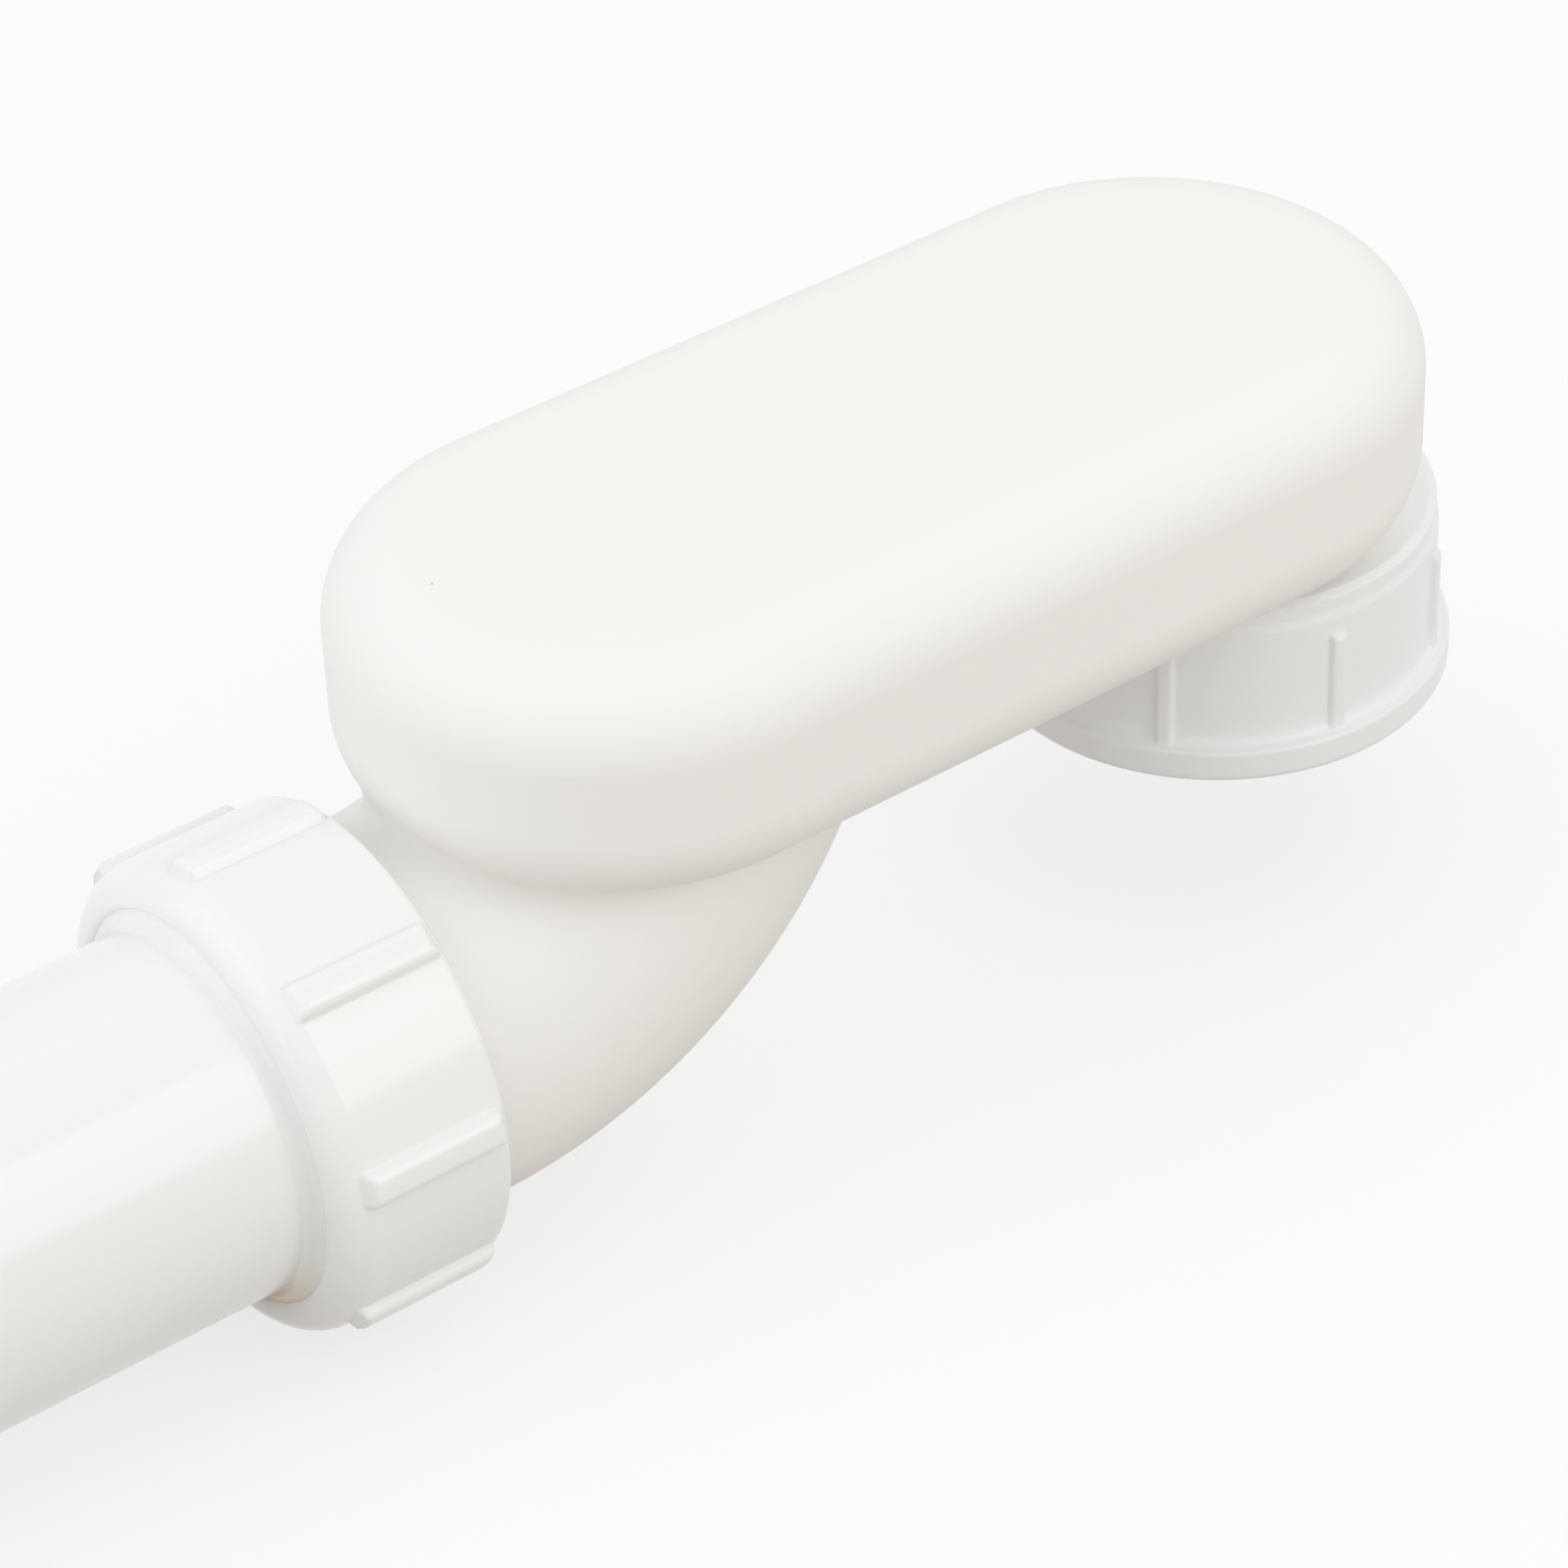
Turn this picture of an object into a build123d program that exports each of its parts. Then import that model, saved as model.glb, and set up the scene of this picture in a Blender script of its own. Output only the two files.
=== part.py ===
"""Space-saving waste trap: an oblong water chamber with a union-nut inlet and a compression outlet.

The frame has its origin at the centre of the inlet nut's mouth. +Z runs up the inlet's axis to the
chamber, and -X runs out along the outlet pipe. All sizes are in millimetres.
"""
import os

from build123d import *

# Chamber: a flat oblong box with rounded edges
chamber_width = 59.6
chamber_centres = 71.6          # between the centres of its two round ends
chamber_height = 28.0
chamber_top_round = 8.9
chamber_bottom_round = 10.1
chamber_wall = 2.5

# Elbow: leaves the chamber's underside and turns to the outlet
elbow_diameter = 42.7
elbow_wall = 2.4
elbow_bend_radius = 37.5
riser_offset = 9.1              # riser's axis, in from the centre of the chamber's round end
outlet_drop = 47.0              # outlet's axis below the chamber's top
elbow_blend = 3.0               # soft corner between the elbow and the chamber
lip_round = 1.5                 # the same corner inside the hollow

# Outlet pipe
pipe_diameter = 40.0
pipe_wall = 2.0
pipe_reach = 61.0               # length that shows beyond the nut
pipe_end_bevel = 1.0
spigot_step = 0.7               # the inserted end is drawn down by this much all round
spigot_depth = 1.0              # from the nut's face to the drawn-down end
pipe_running_gap = 0.3          # round the pipe in the socket, the seal and the ring

# Outlet socket
socket_diameter = 45.0          # at the root of its thread
thread_height = 1.0
socket_bottom = 2.4             # from the thread's end to the socket's shoulder
pipe_end_gap = 0.5
seal_seat_gap = 0.1

# Outlet compression nut
outlet_nut_diameter = 52.3
outlet_nut_length = 20.0
outlet_nut_run = 5.5            # from the end of the bend to the nut's open end
outlet_nut_overlap = 1.0        # how far the nut reaches past the thread's end
outlet_nut_end = 3.0            # thickness of its closed end
outlet_nut_hole_gap = 1.8       # round the pipe
outlet_nut_hole_round = 0.5
outlet_nut_round = 3.6
outlet_nut_rim_round = 0.6
thread_gap = 0.4                # from the thread's crest to the nut's bore

# Grip ribs of the outlet nut
grip_count = 8
grip_width = 3.9
grip_height = 1.45
grip_round = 1.2
grip_first_angle = 9.5          # from the front, upwards
grip_end_margin = 2.8           # from the nut's closed end
grip_rim_margin = 0.8           # from the nut's open end

# Slip ring and conical seal in the outlet nut
ring_thickness = 1.6
ring_play = 0.2
ring_edge_gap = 0.6             # inside the nut's bore
ring_collar_depth = 1.2         # from the nut's face to the end of its collar
ring_collar_gap = 0.3           # round its collar, in the nut's hole
seal_length = 7.5
seal_flange = 2.5               # straight part of its outside
seal_flange_gap = 1.7           # inside the nut's bore
seal_lip = 0.5                  # thickness of the thin end
seal_stand_off = 4.0            # from the seal's back to the socket's mouth

# Inlet union nut
inlet_offset = 10.0             # inlet's axis, beyond the centre of the chamber's round end
inlet_nut_diameter = 49.5
inlet_nut_height = 21.5
inlet_nut_end = 2.5             # thickness of its closed end
inlet_nut_round = 0.5
inlet_band_height = 2.7         # top band of its wall
inlet_band_step = 0.4           # the band is smaller by this much all round
inlet_band_round = 0.3
inlet_thread_diameter = 42.0
inlet_thread_length = 11.5
inlet_relief = 0.4              # undercut behind the thread
inlet_flange_diameter = 52.9
inlet_flange_height = 3.9
inlet_flange_round = 0.8        # at the mouth
inlet_flange_lip = 0.4          # round of its upper edge
inlet_flange_fillet = 1.2       # where it meets the wall
inlet_nut_play = 0.6            # from the nut to the chamber's neck
inlet_nut_slack = 0.2           # from the nut to the collar that holds it

# Ribs of the inlet nut
rib_count = 8
rib_width = 2.0
rib_height = 0.7
rib_round = 0.6
rib_first_angle = -143.3
rib_top_margin = 5.2

# Inlet neck, dip tube and washer
neck_drop = 0.8                 # below the chamber's underside
neck_diameter = 38.4
neck_rise = 3.0                 # above the chamber's floor
dip_bore = 29.2
dip_wall = 1.6
dip_shoulder = 0.6              # step that stops the tube under the neck
dip_neck_gap = 0.1
dip_mouth_gap = 6.5             # from the tube's mouth to the chamber's far wall
collar_diameter = 38.8
collar_height = 2.6
nut_hole_gap = 0.4              # round the tube, in the nut's closed end
washer_height = 3.0
washer_edge = 0.1               # inside the collar's edge
washer_bore_gap = 0.2           # outside the tube's bore

# Heights along the inlet's axis
neck_end = inlet_nut_height + inlet_nut_play
chamber_bottom = neck_end + neck_drop
chamber_top = chamber_bottom + chamber_height
chamber_floor = chamber_bottom + chamber_wall
collar_top = inlet_nut_height - inlet_nut_end - inlet_nut_slack
collar_bottom = collar_top - collar_height
dip_top = chamber_top - chamber_wall - dip_mouth_gap

# Places along the outlet
near_centre = -inlet_offset
far_centre = near_centre - chamber_centres
outlet_height = chamber_top - outlet_drop
bend_height = outlet_height + elbow_bend_radius
bend_end = far_centre + riser_offset - elbow_bend_radius
outlet_nut_rim = bend_end - outlet_nut_run
outlet_nut_face = outlet_nut_rim - outlet_nut_length
thread_end = outlet_nut_rim - outlet_nut_overlap
socket_shoulder = thread_end - socket_bottom
ring_back = outlet_nut_face + outlet_nut_end + ring_play
seal_back = ring_back + ring_thickness
socket_mouth = seal_back + seal_stand_off
pipe_inner_end = socket_shoulder - pipe_end_gap
pipe_outer_end = outlet_nut_face - pipe_reach
spigot_end = outlet_nut_face + spigot_depth

# Radii that several pieces share
spigot_radius = pipe_diameter / 2 - spigot_step
running_radius = spigot_radius + pipe_running_gap
socket_radius = socket_diameter / 2
outlet_nut_radius = outlet_nut_diameter / 2
outlet_nut_bore = socket_radius + thread_height + thread_gap
outlet_hole_radius = pipe_diameter / 2 + outlet_nut_hole_gap
seal_radius = outlet_nut_bore - seal_flange_gap
dip_radius = dip_bore / 2 + dip_wall
dip_barrel_radius = dip_radius + dip_shoulder
inlet_nut_radius = inlet_nut_diameter / 2
inlet_hole_radius = dip_barrel_radius + nut_hole_gap

surface_match = 0.01            # two surfaces this close are taken as meeting
on_base = (Align.CENTER, Align.CENTER, Align.MIN)


def turned_about_inlet(points):
    """Solid of revolution about the inlet's axis, from (radius, height) corners."""
    return revolve(Plane.XZ * make_face(Polyline(*points, close=True)), Axis.Z)


def turned_about_outlet(points):
    """Solid of revolution about the outlet's axis, from (place along X, radius) corners."""
    section = make_face(Polyline(*points, close=True))
    return Pos(Z=outlet_height) * revolve(Plane.XY * section, Axis.X)


def rounds_at(solid, axis, place, radius):
    """The solid's circular edges of one radius at one place along an axis."""
    circles = solid.edges().filter_by(GeomType.CIRCLE)
    circles = circles.filter_by_position(axis, place - surface_match, place + surface_match)
    return circles.filter_by(lambda edge: abs(edge.radius - radius) < surface_match)


def oblong(inset):
    """Chamber block with rounded edges, all its faces moved in by the inset."""
    outline = SlotCenterToCenter(chamber_centres, chamber_width - 2 * inset)
    block = extrude(outline, chamber_height - 2 * inset)
    block = fillet(block.edges().group_by(Axis.Z)[-1], chamber_top_round - inset)
    block = fillet(block.edges().group_by(Axis.Z)[0], chamber_bottom_round - inset)
    return Pos((near_centre + far_centre) / 2, 0, chamber_bottom + inset) * block


def elbow(radius, straight_end):
    """Quarter bend from the riser to the outlet's axis, with a straight run to a place along X."""
    riser = Pos(bend_end + elbow_bend_radius, 0, bend_height) * Circle(radius)
    bend = revolve(riser, Axis((bend_end, 0, bend_height), (0, 1, 0)), 90)
    outlet = Plane((bend_end, 0, outlet_height), z_dir=(-1, 0, 0)) * Circle(radius)
    return bend + extrude(outlet, bend_end - straight_end)


def trap_block(inset, radius, straight_end, corner_round):
    """Chamber and elbow as one block, with the corner between the two surfaces rounded."""
    chamber = oblong(inset)
    block = chamber + elbow(radius, straight_end)
    corner = block.edges().filter_by(lambda edge: is_elbow_corner(edge, chamber, radius))
    return fillet(corner, corner_round)


def is_elbow_corner(edge, chamber, radius):
    """True for the edges where the elbow's surface runs into the chamber's surface."""
    middle = edge @ 0.5
    if middle.X < bend_end:
        off_axis = Vector(0, middle.Y, middle.Z - outlet_height).length
    else:
        reach = Vector(middle.X - bend_end, 0, middle.Z - bend_height).length
        off_axis = Vector(reach - elbow_bend_radius, middle.Y, 0).length
    on_elbow = abs(off_axis - radius) < surface_match
    return on_elbow and chamber.distance_to(Vertex(*middle)) < surface_match


def make_trap_body():
    """One hollow moulding: chamber, elbow, threaded outlet socket and inlet neck."""
    body = trap_block(0, elbow_diameter / 2, thread_end, elbow_blend)
    body += turned_about_outlet(
        [(thread_end, 0), (thread_end, socket_radius), (socket_mouth, socket_radius), (socket_mouth, 0)]
    )
    body -= trap_block(chamber_wall, elbow_diameter / 2 - elbow_wall, socket_mouth, lip_round)
    body -= socket_bore()
    neck = Cylinder(neck_diameter / 2, chamber_floor + neck_rise - neck_end, align=on_base)
    inlet_hole = Cylinder(dip_radius + dip_neck_gap, dip_top - neck_end, align=on_base)
    body += Pos(Z=neck_end) * neck
    return body - Pos(Z=neck_end) * inlet_hole


def seal_slope():
    """Fall of the seal's cone, in radius for each millimetre along the outlet."""
    return (seal_radius - running_radius - seal_lip) / (seal_length - seal_flange)


def socket_bore():
    """Pipe socket with a cone in its mouth that follows the seal's cone."""
    cone_at_mouth = seal_radius - seal_slope() * (seal_stand_off - seal_flange) + seal_seat_gap
    cone_end = socket_mouth + (cone_at_mouth - running_radius) / seal_slope()
    return turned_about_outlet(
        [
            (socket_mouth, 0), (socket_mouth, cone_at_mouth), (cone_end, running_radius),
            (socket_shoulder, running_radius), (socket_shoulder, 0),
        ]
    )


def make_outlet_seal():
    """Rubber ring with a flat back and a cone that the nut presses into the socket."""
    cone_start = seal_back + seal_flange
    tip = seal_back + seal_length
    return turned_about_outlet(
        [
            (seal_back, running_radius), (seal_back, seal_radius), (cone_start, seal_radius),
            (tip, running_radius + seal_lip), (tip, running_radius),
        ]
    )


def make_outlet_slip_ring():
    """Hard ring that lets the nut turn without dragging the rubber round, with a collar in the nut's hole."""
    outer = outlet_nut_bore - ring_edge_gap
    inner = pipe_diameter / 2 + pipe_running_gap
    collar = outlet_hole_radius - ring_collar_gap
    collar_end = outlet_nut_face + ring_collar_depth
    return turned_about_outlet(
        [
            (collar_end, inner), (collar_end, collar), (ring_back, collar), (ring_back, outer),
            (seal_back, outer), (seal_back, inner),
        ]
    )


def make_outlet_pipe():
    """Straight waste pipe with a bevelled free end and a drawn-down inner end."""
    radius = pipe_diameter / 2
    bore = radius - pipe_wall
    return turned_about_outlet(
        [
            (pipe_outer_end, bore), (pipe_outer_end, radius - pipe_end_bevel),
            (pipe_outer_end + pipe_end_bevel, radius), (spigot_end, radius), (spigot_end, spigot_radius),
            (pipe_inner_end, spigot_radius), (pipe_inner_end, bore),
        ]
    )


def rounded_bar(length, width, height, edge_round, root):
    """Bar along X that stands up from z = -root to the height, with its upper edges rounded."""
    bar = Pos(Z=(height - root) / 2) * Box(length, width, height + root)
    return fillet(bar.faces().sort_by(Axis.Z)[-1].edges(), edge_round)


def make_outlet_nut():
    """Compression nut with a rounded closed end round the pipe and bars to grip."""
    inner_face = outlet_nut_face + outlet_nut_end
    nut = turned_about_outlet(
        [
            (outlet_nut_face, outlet_hole_radius), (outlet_nut_face, outlet_nut_radius),
            (outlet_nut_rim, outlet_nut_radius), (outlet_nut_rim, outlet_nut_bore),
            (inner_face, outlet_nut_bore), (inner_face, outlet_hole_radius),
        ]
    )
    nut = fillet(rounds_at(nut, Axis.X, outlet_nut_face, outlet_nut_radius), outlet_nut_round)
    nut = fillet(rounds_at(nut, Axis.X, outlet_nut_rim, outlet_nut_radius), outlet_nut_rim_round)
    nut = fillet(rounds_at(nut, Axis.X, outlet_nut_face, outlet_hole_radius), outlet_nut_hole_round)
    grip_start = outlet_nut_face + grip_end_margin
    grip_length = outlet_nut_rim - grip_rim_margin - grip_start
    root = (outlet_nut_radius - outlet_nut_bore) / 2
    bar = rounded_bar(grip_length, grip_width, grip_height, grip_round, root)
    bar = Pos(grip_start + grip_length / 2, 0, outlet_nut_radius) * bar
    for index in range(grip_count):
        turn = 90 - grip_first_angle - index * 360 / grip_count
        nut += Pos(Z=outlet_height) * Rot(X=turn) * bar
    return nut


def make_inlet_nut():
    """Union nut that hangs on the dip tube's collar, flanged round its threaded mouth."""
    thread = inlet_thread_diameter / 2
    flange = inlet_flange_diameter / 2
    band = inlet_nut_radius - inlet_band_step
    band_start = inlet_nut_height - inlet_band_height
    end_face = inlet_nut_height - inlet_nut_end
    nut = turned_about_inlet(
        [
            (thread, 0), (flange, 0), (flange, inlet_flange_height), (inlet_nut_radius, inlet_flange_height),
            (inlet_nut_radius, band_start), (band, band_start),
            (band, inlet_nut_height), (inlet_hole_radius, inlet_nut_height),
            (inlet_hole_radius, end_face), (thread + inlet_relief, end_face),
            (thread + inlet_relief, inlet_thread_length), (thread, inlet_thread_length),
        ]
    )
    nut = fillet(rounds_at(nut, Axis.Z, inlet_nut_height, band), inlet_nut_round)
    nut = fillet(rounds_at(nut, Axis.Z, band_start, inlet_nut_radius), inlet_band_round)
    nut = fillet(rounds_at(nut, Axis.Z, 0, flange), inlet_flange_round)
    nut = fillet(rounds_at(nut, Axis.Z, inlet_flange_height, flange), inlet_flange_lip)
    nut = fillet(rounds_at(nut, Axis.Z, inlet_flange_height, inlet_nut_radius), inlet_flange_fillet)
    rib_length = inlet_nut_height - rib_top_margin - inlet_flange_height / 2
    root = (inlet_nut_radius - thread) / 2
    bar = rounded_bar(rib_length, rib_width, rib_height, rib_round, root)
    bar = Pos(inlet_nut_radius, 0, inlet_flange_height / 2 + rib_length / 2) * Rot(Y=90) * bar
    for index in range(rib_count):
        nut += Rot(Z=rib_first_angle + index * 360 / rib_count) * bar
    return nut


def make_dip_tube():
    """Inner inlet tube: its collar carries the union nut, and its mouth dips into the water."""
    bore = dip_bore / 2
    collar = collar_diameter / 2
    return turned_about_inlet(
        [
            (bore, collar_bottom), (collar, collar_bottom), (collar, collar_top),
            (dip_barrel_radius, collar_top), (dip_barrel_radius, neck_end),
            (dip_radius, neck_end), (dip_radius, dip_top), (bore, dip_top),
        ]
    )


def make_inlet_washer():
    """Flat rubber washer under the dip tube's collar."""
    inner = dip_bore / 2 + washer_bore_gap
    outer = collar_diameter / 2 - washer_edge
    low = collar_bottom - washer_height
    return turned_about_inlet([(inner, low), (outer, low), (outer, collar_bottom), (inner, collar_bottom)])


pieces = {
    "trap_body": make_trap_body(),
    "dip_tube": make_dip_tube(),
    "inlet_washer": make_inlet_washer(),
    "inlet_nut": make_inlet_nut(),
    "outlet_seal": make_outlet_seal(),
    "outlet_slip_ring": make_outlet_slip_ring(),
    "outlet_nut": make_outlet_nut(),
    "outlet_pipe": make_outlet_pipe(),
}

os.makedirs("parts", exist_ok=True)
for name, piece in pieces.items():
    export_step(piece, f"parts/{name}.step")
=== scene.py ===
"""Looks of a white plastic space-saving waste trap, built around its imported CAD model. In metres."""
from math import cos, pi, radians, sin

import bpy
import numpy as np
from mathutils import Matrix, Vector


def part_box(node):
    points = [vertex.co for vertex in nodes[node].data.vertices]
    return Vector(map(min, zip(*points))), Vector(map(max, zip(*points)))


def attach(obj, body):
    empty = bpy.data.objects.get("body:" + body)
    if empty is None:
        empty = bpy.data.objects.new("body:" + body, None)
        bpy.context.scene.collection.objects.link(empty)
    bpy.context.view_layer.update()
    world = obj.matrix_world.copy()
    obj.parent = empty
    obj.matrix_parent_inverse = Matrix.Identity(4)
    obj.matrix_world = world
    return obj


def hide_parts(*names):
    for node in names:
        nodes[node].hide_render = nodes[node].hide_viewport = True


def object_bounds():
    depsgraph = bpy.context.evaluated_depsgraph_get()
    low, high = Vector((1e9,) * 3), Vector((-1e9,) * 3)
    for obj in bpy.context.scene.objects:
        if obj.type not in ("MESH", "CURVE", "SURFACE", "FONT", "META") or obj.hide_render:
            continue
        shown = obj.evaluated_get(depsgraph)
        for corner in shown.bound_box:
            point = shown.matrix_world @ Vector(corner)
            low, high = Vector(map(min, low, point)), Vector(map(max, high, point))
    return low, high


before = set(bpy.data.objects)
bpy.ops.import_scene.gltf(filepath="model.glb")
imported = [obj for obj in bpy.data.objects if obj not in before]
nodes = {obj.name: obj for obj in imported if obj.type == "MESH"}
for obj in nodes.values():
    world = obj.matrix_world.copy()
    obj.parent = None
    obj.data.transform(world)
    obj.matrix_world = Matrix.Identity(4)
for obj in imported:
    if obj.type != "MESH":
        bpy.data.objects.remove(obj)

MM = 0.001
size_at_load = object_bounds()
for plain in list(bpy.data.materials):
    bpy.data.materials.remove(plain)


class Value:
    """A socket in a material's node tree. Arithmetic on it adds Math nodes to the same tree."""

    def __init__(self, tree, socket=None):
        self.tree = tree
        self.socket = socket

    def node(self, kind, settings, sockets, output=0):
        """Adds any node: its settings first (a ramp's stops too), then its sockets' values or links."""
        made = self.tree.nodes.new(kind)
        for key, value in settings.items():
            if key == "stops":
                for _ in value[2:]:
                    made.color_ramp.elements.new(1.0)
                for element, (spot, shade) in zip(made.color_ramp.elements, value):
                    element.position = spot
                    element.color = shade
            else:
                setattr(made, key, value)
        for key, value in sockets.items():
            if isinstance(value, Value):
                self.tree.links.new(value.socket, made.inputs[key])
            else:
                made.inputs[key].default_value = value
        return Value(self.tree, made.outputs[output] if made.outputs else None)

    def math(self, operation, *values):
        """A Math node on the given values."""
        return self.node("ShaderNodeMath", {"operation": operation}, dict(enumerate(values)))

    def __add__(self, other):
        return self.math("ADD", self, other)

    def __radd__(self, other):
        return self.math("ADD", other, self)

    def __sub__(self, other):
        return self.math("SUBTRACT", self, other)

    def __rsub__(self, other):
        return self.math("SUBTRACT", other, self)

    def __mul__(self, other):
        return self.math("MULTIPLY", self, other)

    def __rmul__(self, other):
        return self.math("MULTIPLY", other, self)

    def above(self, edge, width):
        """0 under the edge and 1 over it, with a soft step of the given width."""
        step = {"Value": self, "From Min": edge - width / 2, "From Max": edge + width / 2}
        return self.node("ShaderNodeMapRange", {"interpolation_type": "SMOOTHSTEP"}, step)

    def tint(self, low, high):
        """A colour that runs from low to high as this value runs from 0 to 1."""
        stops = [(0.0, (*low, 1.0)), (1.0, (*high, 1.0))]
        return self.node("ShaderNodeValToRGB", {"stops": stops}, {"Fac": self})


def place(tree, stretch=(1.0, 1.0, 1.0)):
    """Object coordinates in metres, each axis multiplied by its stretch."""
    where = Value(tree).node("ShaderNodeTexCoord", {}, {}, "Object")
    return where.node("ShaderNodeVectorMath", {"operation": "MULTIPLY"}, {0: where, 1: stretch})


def noise(where, scale, detail=2.0):
    """Smooth noise, about 0.5, with features of about 1 / scale metres."""
    return where.node("ShaderNodeTexNoise", {}, {"Vector": where, "Scale": scale, "Detail": detail}, "Fac")


def specks(where, scale, radius, share):
    """1 in small specks: in the given share of Voronoi cells, within a radius of the cell's point."""
    cell = {"Vector": where, "Scale": scale, "Randomness": 1.0}
    near = where.node("ShaderNodeTexVoronoi", {}, cell, "Distance")
    pick = where.node("ShaderNodeTexVoronoi", {}, cell, "Color")
    chosen = where.node("ShaderNodeSeparateColor", {}, {0: pick}, "Red").above(1.0 - share, 0.01)
    return (1.0 - near.above(radius * scale, 0.5 * radius * scale)) * chosen


PLASTIC_IOR = 1.49


def new_material(name):
    """A new material, a value to start its tree from, and its Principled shader's node."""
    material = bpy.data.materials.new(name)
    material.use_nodes = True
    shader = material.node_tree.nodes["Principled BSDF"]
    shader.inputs["IOR"].default_value = PLASTIC_IOR
    return material, Value(material.node_tree), shader


def surface(shader, colour, rough, bump=None, bump_height=0.0):
    """Links colour, roughness and a bump of the given height in metres into a Principled shader."""
    tree = colour.tree
    tree.links.new(colour.socket, shader.inputs["Base Color"])
    tree.links.new(rough.socket, shader.inputs["Roughness"])
    if bump is not None:
        bumps = {"Strength": 1.0, "Distance": bump_height, "Height": bump}
        relief = colour.node("ShaderNodeBump", {}, bumps)
        tree.links.new(relief.socket, shader.inputs["Normal"])


def dimmed(colour, share):
    """A colour with each channel multiplied by the share."""
    return tuple(share * channel for channel in colour)


DUST = (0.45, 0.40, 0.35)


def body_plastic(colour):
    """Satin moulded polypropylene: fine grain, a few dust specks, and short scuffs along the mould."""
    material, start, shader = new_material("body_plastic")
    where = place(start.tree)
    from_above, from_front = place(start.tree, (1.0, 1.0, 0.0)), place(start.tree, (1.0, 0.0, 1.0))
    drawn_out = place(start.tree, (0.04, 1.0, 0.0))
    dust = (specks(from_above, scale=60.0, radius=0.17 * MM, share=0.2)
            + specks(from_front, scale=75.0, radius=0.17 * MM, share=0.2))
    scuff = specks(drawn_out, scale=90.0, radius=0.10 * MM, share=0.25)
    grain = noise(where, scale=2200.0, detail=1.0)
    dimple = noise(where, scale=240.0)
    flow = noise(where, scale=45.0, detail=3.0)
    clean = flow.tint(dimmed(colour, 0.992), colour)
    # A Mix node's sockets 6 and 7 are its two colours, and its output 2 is the mixed one.
    colours = {"Factor": 0.6 * dust, 6: clean, 7: (*DUST, 1.0)}
    shade = start.node("ShaderNodeMix", {"data_type": "RGBA"}, colours, 2)
    relief = grain + 2.0 * dimple - 2.0 * scuff
    surface(shader, shade, 0.5 + 0.08 * flow - 0.12 * scuff, relief, bump_height=0.008 * MM)
    return material


EVEN, ALONG_THE_PIPE = (1.0, 1.0, 1.0), (0.06, 1.0, 1.0)


def glossy_plastic(name, colour, stretch, scale, rough, height):
    """Glossy polypropylene: slow ripples that bend its reflections, long where the stretch is small."""
    material, start, shader = new_material(name)
    ripple = noise(place(start.tree, stretch), scale)
    haze = noise(place(start.tree), scale=900.0)
    surface(shader, ripple.tint(dimmed(colour, 0.99), colour), rough + 0.05 * haze, ripple, height)
    return material


def ring_plastic(pale, painted_glow_amber, height, fade):
    """Natural plastic, pale above a height, with a painted warm glow under it: amber that stands in for light
    coming through the translucent plastic where it lies in shade. The fade has the given width. Metres.
    """
    material, start, shader = new_material("ring_plastic")
    where = place(start.tree)
    level = start.node("ShaderNodeSeparateXYZ", {}, {0: where}, "Z")
    mottle = noise(where, scale=300.0)
    # Painted glow: the amber under the height stands in for warm light through the plastic in shade, not for
    # the ring's own colour.
    surface(shader, level.above(height, fade).tint(painted_glow_amber, pale), 0.15 + 0.1 * mottle)
    return material


def rubber(name, dark, pale):
    """Matt rubber with a fine mottle."""
    material, start, shader = new_material(name)
    mottle = noise(place(start.tree), scale=700.0, detail=3.0)
    surface(shader, mottle.tint(dark, pale), 0.62 + 0.2 * mottle, mottle, 0.03 * MM)
    return material


moulding = body_plastic((0.965, 0.942, 0.912))
nut = glossy_plastic("nut_plastic", (0.95, 0.942, 0.925), EVEN, scale=90.0, rough=0.13, height=0.07 * MM)
union = glossy_plastic("union_plastic", (0.927, 0.926, 0.924), EVEN, scale=110.0, rough=0.29,
                       height=0.03 * MM)
pipe = glossy_plastic("pipe_plastic", (0.945, 0.938, 0.925), ALONG_THE_PIPE, scale=140.0, rough=0.15,
                      height=0.02 * MM)
# The ring is painted amber below -8 mm as a painted warm glow, which stands in for light shining through the
# plastic at its shaded lower end.
ring = ring_plastic((0.945, 0.938, 0.925), (0.87, 0.77, 0.62), height=-8 * MM, fade=12 * MM)
pale_rubber = rubber("seal_rubber", (0.66, 0.56, 0.42), (0.76, 0.68, 0.55))
black_rubber = rubber("washer_rubber", (0.012, 0.012, 0.013), (0.03, 0.03, 0.03))

finishes = {
    "trap_body": moulding, "dip_tube": moulding, "inlet_washer": black_rubber, "inlet_nut": union,
    "outlet_seal": pale_rubber, "outlet_slip_ring": ring, "outlet_nut": nut, "outlet_pipe": pipe,
}
for name, finish in finishes.items():
    nodes[name].data.materials.clear()
    nodes[name].data.materials.append(finish)


class Shaft:
    """A turned piece's axis: a point on it, its direction, and two directions square to it. Millimetres."""

    def __init__(self, point, along, first, second):
        self.point, self.along = np.array(point, float), np.array(along, float)
        self.first, self.second = np.array(first, float), np.array(second, float)

    def points(self, reach, radius, angle):
        """P(s, r, a) = point + s along + r (cos a first + sin a second), in metres."""
        grids = np.broadcast_arrays(reach, radius, angle)
        reach, radius, angle = (np.asarray(grid, float)[..., None] for grid in grids)
        spoke = np.cos(angle) * self.first + np.sin(angle) * self.second
        return (self.point + reach * self.along + radius * spoke) * MM


INLET = Shaft((0, 0, 0), (0, 0, 1), (1, 0, 0), (0, 1, 0))
outlet_height = sum(corner.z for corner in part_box("outlet_pipe")) / 2 / MM
OUTLET = Shaft((0, 0, outlet_height), (-1, 0, 0), (0, 0, 1), (0, 1, 0))


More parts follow.
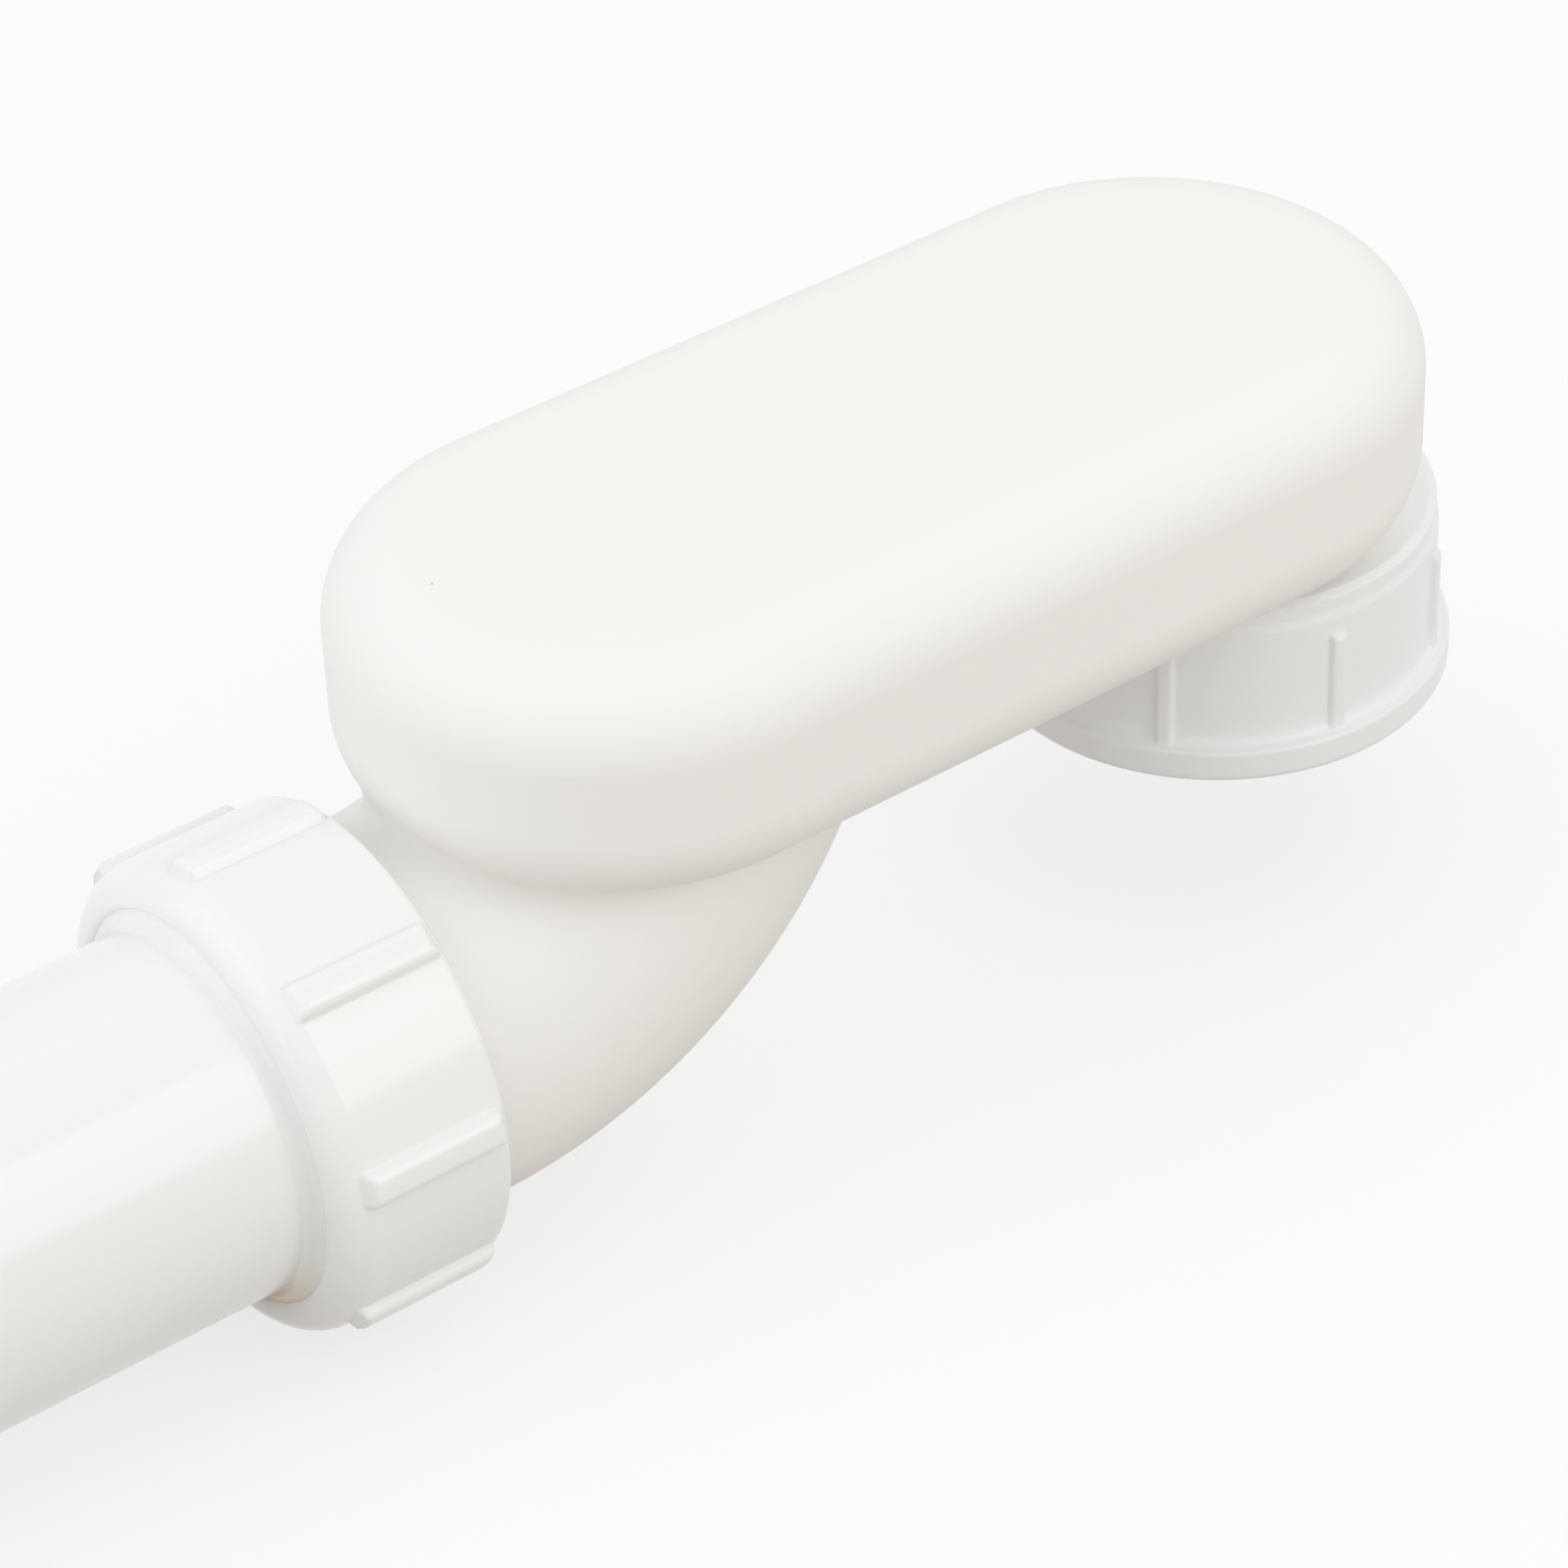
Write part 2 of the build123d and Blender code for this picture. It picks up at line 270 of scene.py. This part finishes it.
def grid_piece(name, points, loops, body, finish):
    """Smooth mesh on a grid of points (u, v, 3), closed along u or v as loops says, riding a CAD body."""
    rows, columns = points.shape[:2]
    u = np.arange(rows if loops[0] else rows - 1)[:, None]
    v = np.arange(columns if loops[1] else columns - 1)[None, :]
    after_u, after_v = (u + 1) % rows, (v + 1) % columns
    row, after_row = u * columns, after_u * columns
    corners = [row + v, row + after_v, after_row + after_v, after_row + v]
    quads = np.stack(np.broadcast_arrays(*corners), axis=-1).reshape(-1, 4)
    mesh = bpy.data.meshes.new(name)
    mesh.from_pydata(points.reshape(-1, 3), [], quads)
    mesh.shade_smooth()
    mesh.materials.append(finish)
    piece = bpy.data.objects.new(name, mesh)
    bpy.context.scene.collection.objects.link(piece)
    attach(piece, body)
    return piece


def outward(section):
    """A closed section of (reach, radius) whose faces point outwards: one of negative area."""
    reach, radius = section.T
    area = np.sum(reach * np.roll(radius, -1) - np.roll(reach, -1) * radius) / 2
    return section if area < 0 else section[::-1]


def rounded_section(corners):
    """Closed section from corners (reach, radius, rounding R, step to the next corner).

    Lines run in along i and away along o. With n the unit part of o square to i and f the turn from i to o,
    a corner c becomes the arc c - R tan(f / 2) i + R (i sin t + n (1 - cos t)), 0 <= t <= f.
    """
    spots = np.array([corner[:2] for corner in corners], float)
    ways = np.roll(spots, -1, axis=0) - spots
    ways /= np.linalg.norm(ways, axis=1)[:, None]
    turns = np.arccos(np.clip(np.sum(np.roll(ways, 1, axis=0) * ways, axis=1), -1, 1))
    cuts = np.array([corner[2] for corner in corners]) * np.tan(turns / 2)
    out = []
    for index, (_, _, size, step) in enumerate(corners):
        into, away = ways[index - 1], ways[index]
        square = away - (away @ into) * into
        square /= np.linalg.norm(square)
        turn = np.linspace(0, turns[index], max(4, int(3 + size * 3)))[:, None]
        arc = size * (into * np.sin(turn) + square * (1 - np.cos(turn)))
        out.append(spots[index] - cuts[index] * into + arc)
        following = (index + 1) % len(corners)
        start = spots[index] + cuts[index] * away
        end = spots[following] - cuts[following] * away
        count = max(1, int(np.linalg.norm(end - start) / step))
        out.append(start + np.linspace(0, 1, count + 1)[1:-1, None] * (end - start))
    return outward(np.concatenate(out))


RIB_CORNER = 0.4


def rib_height(along, across, half_length, half_width, height, edge):
    """Height of a rounded bar over a wall, from the distance d to its outline (negative inside).

    The top edge is an arc of the given radius, h = height - edge + sqrt(edge^2 - (d + edge)^2), and the
    root an arc of radius f = height - edge that turns the other way, h = f - sqrt(f^2 - (f - d)^2). In
    plan, the outline's corners are rounded by RIB_CORNER.
    """
    past = np.broadcast_arrays(np.abs(along) - half_length, np.abs(across) - half_width)
    over = np.stack(past) + RIB_CORNER
    d = np.linalg.norm(np.maximum(over, 0), axis=0) + np.minimum(over.max(axis=0), 0) - RIB_CORNER
    root = height - edge
    top = root + np.sqrt(np.maximum(edge**2 - np.clip(d + edge, 0, edge) ** 2, 0))
    foot = root - np.sqrt(np.maximum(root**2 - np.clip(root - d, 0, root) ** 2, 0))
    return np.where(d < 0, top, foot)


RIB_MARGIN, RIB_COLUMNS, GAP_COLUMNS = 0.5, 31, 12


def ribbed_nut(name, shaft, corners, wall, ribs, body, finish):
    """Turned nut with bars along its outer wall: a section carried round the axis, lifted by rib_height.

    Where the section's radius q is under the wall's radius w, the lift h also takes up the difference:
    r = max(q, b + (w - b) h / height + h), with b = min(q, w). Within the ribs' inner radius nothing is lifted.
    """
    section = rounded_section(corners)
    reach, flat = section[:, 0][:, None], section[:, 1][:, None]
    pitch = 2 * pi / ribs["count"]
    beside = 0.5 * ribs["width"] + RIB_MARGIN
    gap = pitch * wall - 2 * beside
    over_rib = np.linspace(-1, 1, RIB_COLUMNS) * beside
    over_gap = np.linspace(0, 1, GAP_COLUMNS + 2)[1:-1] * gap + beside
    across = np.append(over_rib, over_gap)
    signed = (across + pitch * wall / 2) % (pitch * wall) - pitch * wall / 2
    middle, half = sum(ribs["span"]) / 2, (ribs["span"][1] - ribs["span"][0]) / 2
    lift = rib_height(reach - middle, signed[None, :], half, ribs["width"] / 2,
                      ribs["height"], ribs["edge"])
    base = np.minimum(flat, wall)
    raised = np.maximum(flat, base + (wall - base) * lift / ribs["height"] + lift)
    radius = np.where(flat > ribs["inner"], raised, flat)
    turns = pitch * np.arange(ribs["count"])[:, None]
    angles = radians(ribs["first"]) + (across / wall + turns).reshape(1, -1)
    points = shaft.points(reach, np.tile(radius, ribs["count"]), angles)
    return grid_piece(name, points, (True, True), body, finish)


RUN_OUT, THREAD_SINK = 0.9, 0.08
STEPS_A_TURN, RIDGE_COLUMNS = 110, 15


def thread_ridge(name, shaft, start, pitch, turns, root, crest, widths, body, finish):
    """Screw ridge: a tapered section carried along a right-hand helix, dying away over RUN_OUT radians.

    P(a, k) = point + (start + pitch a / 2 pi + k W / 2) along + r(k, a) spoke(a), for -1 <= k <= 1, where r
    runs from the root, sunk into its wall, to the crest over the flanks, and W is the width at the root.
    On an outside thread k runs backwards, so that the faces point outwards there too.
    """
    angle = np.linspace(*turns, int(STEPS_A_TURN * (turns[1] - turns[0])))[:, None] * 2 * pi
    across = np.linspace(-1, 1, RIDGE_COLUMNS)[None, :] * np.sign(root - crest)
    flank = np.clip((1 - np.abs(across)) / (1 - widths[1] / widths[0]), 0, 1)
    flank = flank**2 * (3 - 2 * flank)
    ends = np.clip(np.minimum(angle - angle[0], angle[-1] - angle) / RUN_OUT, 0, 1)
    sink = THREAD_SINK * np.sign(root - crest)
    radius = root + sink + (crest - root - sink) * flank * ends**2 * (3 - 2 * ends)
    points = shaft.points(start + pitch * angle / (2 * pi) + across * widths[0] / 2, radius, angle)
    return grid_piece(name, points, (False, False), body, finish)


ROUND_STEPS = 192


def turned_piece(name, shaft, section, body, finish):
    """A closed section of (reach, radius) carried once round a shaft."""
    angle = np.linspace(0, 2 * pi, ROUND_STEPS, endpoint=False)[None, :]
    points = shaft.points(section[:, 0][:, None], section[:, 1][:, None], angle)
    return grid_piece(name, points, (True, True), body, finish)


def lip_section(face, inner, outer, reach, depth):
    """Section of a soft lip round a pipe, from a hole's edge up to the pipe's wall.

    Its hollow front is a quarter of an ellipse, with a crisp outer edge:
    (face + reach (1 - sin t), inner + (outer - inner) (1 - cos t)), 0 <= t <= pi / 2.
    Behind it a heel leads to a flat back at the given depth.
    """
    crisp, heel, heel_drop, toe = 0.02, outer - 0.25, 0.4, inner + 0.1
    front_steps, back_steps = 20, 8
    turn = np.append(np.linspace(0, pi / 2 - crisp, front_steps), pi / 2)
    rise, spread = reach * (1 - np.sin(turn)), (outer - inner) * (1 - np.cos(turn))
    front = np.stack([face + rise, inner + spread], axis=1)
    back = np.stack([np.full(back_steps, face - depth), np.linspace(heel, toe, back_steps)], axis=1)
    return outward(np.concatenate([front, [(face - crisp, outer), (face - heel_drop, heel)], back]))


def reach_of(node, shaft):
    """A CAD node's lowest and highest place along a shaft, in millimetres."""
    ends = [shaft.along @ (np.array(corner) / MM - shaft.point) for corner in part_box(node)]
    return min(ends), max(ends)


# Compression nut, the slip ring's lip and the pipe, in millimetres along and across the outlet's axis.
nut_rim, nut_face = reach_of("outlet_nut", OUTLET)
nut_wall, nut_bore, nut_hole = 26.15, 23.9, 21.8
nut_end = nut_face - 3.0
outlet_ribs = {"count": 8, "first": -80.5, "span": (nut_rim + 0.8, nut_face - 2.8), "width": 3.9,
               "height": 1.45, "edge": 1.2, "inner": 24.5}
outlet_nut = ribbed_nut("outlet_nut_moulding", OUTLET, [
    (nut_face, nut_hole, 0.7, 0.5), (nut_face, nut_wall, 3.6, 0.25), (nut_rim, nut_wall, 0.6, 0.4),
    (nut_rim, nut_bore, 0.3, 0.8), (nut_end, nut_bore, 0.2, 0.5), (nut_end, nut_hole, 0.2, 0.6),
], nut_wall, outlet_ribs, "compression_nut", nut)
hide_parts("outlet_nut")

pipe_radius = 20.0
lip = lip_section(face=nut_face - 0.45, inner=pipe_radius - 0.1, outer=nut_hole + 0.06,
                  reach=2.4, depth=0.75)
turned_piece("slip_ring_lip", OUTLET, lip, "slip_ring", ring)

sleeve_skin, sleeve_core = pipe_radius - 0.005, pipe_radius - 0.8
sleeve_start = nut_face - 0.8
sleeve_end = reach_of("outlet_seal", OUTLET)[1] + 0.2
sleeve = rounded_section([
    (sleeve_start, sleeve_core, 0.02, 0.5), (sleeve_start, sleeve_skin, 0.02, 0.5),
    (sleeve_end, sleeve_skin, 0.3, 0.5), (sleeve_end, sleeve_core, 0.02, 0.5)])
turned_piece("pipe_sleeve", OUTLET, sleeve, "pipe", pipe)

OUTLET_PITCH = 3.0
thread_ridge("outlet_nut_thread", OUTLET, nut_rim + 0.7, OUTLET_PITCH, turns=(0.35, 3.0), root=nut_bore,
             crest=22.9, widths=(1.3, 0.5), body="compression_nut", finish=nut)
thread_ridge("socket_thread", OUTLET, nut_rim + 2.2, OUTLET_PITCH, turns=(0.0, 2.7), root=22.5,
             crest=23.5, widths=(1.6, 0.7), body="trap", finish=moulding)

# Union nut, in millimetres along and across the inlet's axis, from its mouth up.
nut_mouth, nut_top = reach_of("inlet_nut", INLET)
flange, flange_top = 26.45, 3.9
union_wall, union_band, union_brow = 24.75, 24.45, 23.6
union_thread, union_room, union_hole = 21.0, 21.4, 17.2
thread_top, ceiling = 11.5, nut_top - 2.5
inlet_ribs = {"count": 8, "first": -143.3, "span": (1.95, nut_top - 5.2), "width": 2.0,
              "height": 0.7, "edge": 0.6, "inner": 22.0}
inlet_nut = ribbed_nut("inlet_nut_moulding", INLET, [
    (nut_mouth, union_thread, 0.4, 0.6), (nut_mouth, flange, 0.8, 0.3), (flange_top, flange, 0.4, 0.1),
    (flange_top, union_wall, 1.2, 0.3), (nut_top - 3.2, union_wall, 1.0, 0.2),
    (nut_top - 2.2, union_band, 1.0, 0.3), (nut_top - 0.55, union_band, 0.12, 0.3),
    (nut_top, union_brow, 0.4, 0.5), (nut_top, union_hole, 0.3, 0.6), (ceiling, union_hole, 0.2, 0.5),
    (ceiling, union_room, 0.2, 0.6), (thread_top, union_room, 0.1, 0.2),
    (thread_top, union_thread, 0.1, 0.8),
], union_wall, inlet_ribs, "union_nut", union)
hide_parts("inlet_nut")

INLET_PITCH = 2.309
thread_ridge("inlet_nut_thread", INLET, 1.2, INLET_PITCH, turns=(0.0, 4.2), root=union_thread,
             crest=19.7, widths=(1.9, 0.5), body="union_nut", finish=union)


def area_light(name, at, towards, width, height, power, colour=(1.0, 1.0, 1.0)):
    """A softbox of width by height metres that faces a point."""
    lamp = bpy.data.lights.new(name, "AREA")
    lamp.shape = "RECTANGLE"
    lamp.size, lamp.size_y = width, height
    lamp.energy, lamp.color = power, colour
    holder = bpy.data.objects.new(name, lamp)
    holder.location = at
    holder.rotation_euler = (Vector(towards) - Vector(at)).to_track_quat("-Z", "Y").to_euler()
    bpy.context.scene.collection.objects.link(holder)


AIM = (-0.08, 0.0, 0.02)
area_light("front_strip", (0.18, -0.718, 0.579), AIM, width=0.4, height=0.77, power=1.4)
area_light("left_fill", (-1.0, 0.35, 0.5), AIM, width=1.2, height=1.2, power=2.8, colour=(0.88, 0.92, 1.0))


def shown_white(tree):
    """1 on the rays that show a backdrop to the eye: straight, mirrored or through glass."""
    rays = [Value(tree).node("ShaderNodeLightPath", {}, {}, f"Is {kind} Ray")
            for kind in ("Camera", "Glossy", "Transmission")]
    return rays[0].math("MAXIMUM", rays[0].math("MAXIMUM", *rays[:2]), rays[2])


def studio_world(light):
    """Even light from all round, of the given colour."""
    world = bpy.data.worlds.new("studio")
    bpy.context.scene.world = world
    world.use_nodes = True
    world.node_tree.nodes["Background"].inputs["Color"].default_value = (*light, 1.0)


studio_world(light=(0.815, 0.83, 0.83))


def floor_plane(height, bounce, half=3.0, glow_share=0.7):
    """Square floor under the object, which throws back the given share of light and is seen white.

    What is seen is white paper, which takes the shadow, mixed with an even white by the glow's share.
    """
    mesh = bpy.data.meshes.new("floor")
    square = [(-half, -half, height), (half, -half, height), (half, half, height), (-half, half, height)]
    mesh.from_pydata(square, [], [(0, 1, 2, 3)])
    floor = bpy.data.objects.new("floor", mesh)
    bpy.context.scene.collection.objects.link(floor)
    material, start, shader = new_material("floor_white")
    paint = start.node("ShaderNodeBsdfDiffuse", {}, {"Color": (*bounce, 1.0)})
    paper = start.node("ShaderNodeBsdfDiffuse", {}, {"Color": (0.95, 0.95, 0.95, 1.0)})
    glow = start.node("ShaderNodeEmission", {}, {"Color": (1.0, 1.0, 1.0, 1.0), "Strength": 1.0})
    seen = start.node("ShaderNodeMixShader", {}, {0: glow_share, 1: paper, 2: glow})
    mix = start.node("ShaderNodeMixShader", {}, {0: shown_white(start.tree), 1: paint, 2: seen})
    start.tree.links.new(mix.socket, start.tree.nodes["Material Output"].inputs["Surface"])
    start.tree.nodes.remove(shader)
    mesh.materials.append(material)


floor_plane(height=size_at_load[0][2], bounce=(0.56, 0.52, 0.475))


def photo_camera(at, azimuth, elevation, roll, lens):
    """Camera at a point, turned by degrees: azimuth from the front, elevation, and roll about its view."""
    turn, rise, lean = radians(azimuth), radians(elevation), radians(roll)
    back = Vector((sin(turn) * cos(rise), -cos(turn) * cos(rise), sin(rise)))
    level = Vector((0.0, 0.0, 1.0)).cross(back).normalized()
    upright = back.cross(level)
    right = cos(lean) * level + sin(lean) * upright
    up = cos(lean) * upright - sin(lean) * level
    camera = bpy.data.cameras.new("camera")
    camera.lens, camera.sensor_width = lens, 36.0
    holder = bpy.data.objects.new("camera", camera)
    holder.matrix_world = Matrix.Translation(at) @ Matrix((right, up, back)).transposed().to_4x4()
    bpy.context.scene.collection.objects.link(holder)
    bpy.context.scene.camera = holder


photo_camera((-0.35683, -0.40154, 0.38039), azimuth=-36.40, elevation=36.65, roll=-2.085, lens=133.42)
bpy.context.scene.view_settings.view_transform = "Standard"
